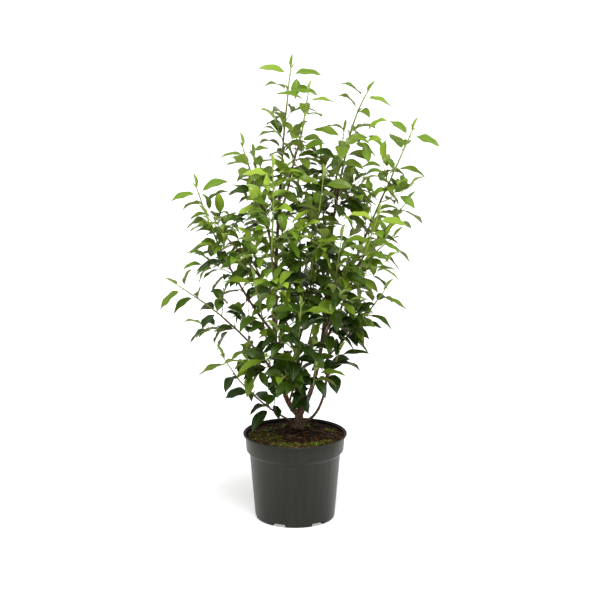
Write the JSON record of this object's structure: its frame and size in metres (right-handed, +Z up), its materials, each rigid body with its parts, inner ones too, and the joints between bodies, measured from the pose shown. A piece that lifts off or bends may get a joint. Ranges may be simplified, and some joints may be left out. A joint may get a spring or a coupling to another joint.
{
  "type": "potted portuguese laurel",
  "caption": "Evergreen shrub in a filled nursery pot: a short forked trunk, long thin boughs, and open masses of arched pointed leaves that show sky between them.",
  "frame": {"origin": "middle of the pot's flat underside, on the floor", "axes": "+Z up along the pot's axis; -Y towards the viewer of the picture; +X to the viewer's right"},
  "size_m": [0.7395, 0.5703, 1.2536],
  "materials": {
    "pot_plastic": "moulded, slightly glossy, dark olive grey",
    "compost": "moist crumbly potting compost with bits of bark and moss",
    "bark": "thin smooth red-brown bark, grey-brown at the trunk",
    "mature_leaves": "glossy dark green above, paler and duller below",
    "young_leaves": "glossy yellow-green young growth among dark leaves"
  },
  "bodies": {
    "root": {"pot": "pot_plastic", "soil": "compost", "trunk": "bark", "left_stem": "bark", "right_stem": "bark", "thin_stem": "bark", "leader_bough": "bark", "leader_leaves": "young_leaves", "crown_front_bough": "bark", "crown_front_leaves": "young_leaves", "left_shoulder_bough": "bark", "left_shoulder_leaves": "mature_leaves", "bright_front_bough": "bark", "bright_front_leaves": "young_leaves", "high_left_bough": "bark", "high_left_leaves": "young_leaves", "mid_left_bough": "bark", "mid_left_leaves": "mature_leaves", "arching_left_bough": "bark", "arching_left_leaves": "mature_leaves", "low_rosette_bough": "bark", "low_rosette_leaves": "mature_leaves", "low_left_bough": "bark", "low_left_leaves": "mature_leaves", "left_front_bough": "bark", "left_front_leaves": "mature_leaves", "high_right_bough": "bark", "high_right_leaves": "young_leaves", "crown_right_bough": "bark", "crown_right_leaves": "mature_leaves", "far_right_bough": "bark", "far_right_leaves": "young_leaves", "right_back_bough": "bark", "right_back_leaves": "mature_leaves", "right_front_bough": "bark", "right_front_leaves": "young_leaves", "middle_right_bough": "bark", "middle_right_leaves": "mature_leaves", "thin_right_bough": "bark", "thin_right_leaves": "mature_leaves", "low_right_bough": "bark", "low_right_leaves": "mature_leaves", "centre_front_bough": "bark", "centre_front_leaves": "mature_leaves", "low_front_bough": "bark", "low_front_leaves": "mature_leaves", "foot_front_bough": "bark", "foot_front_leaves": "mature_leaves", "back_middle_bough": "bark", "back_middle_leaves": "mature_leaves", "back_low_bough": "bark", "back_low_leaves": "mature_leaves", "back_left_bough": "bark", "back_left_leaves": "mature_leaves", "back_right_bough": "bark", "back_right_leaves": "mature_leaves", "back_high_left_bough": "bark", "back_high_left_leaves": "mature_leaves", "back_high_right_bough": "bark", "back_high_right_leaves": "mature_leaves"}
  },
  "joints": []
}
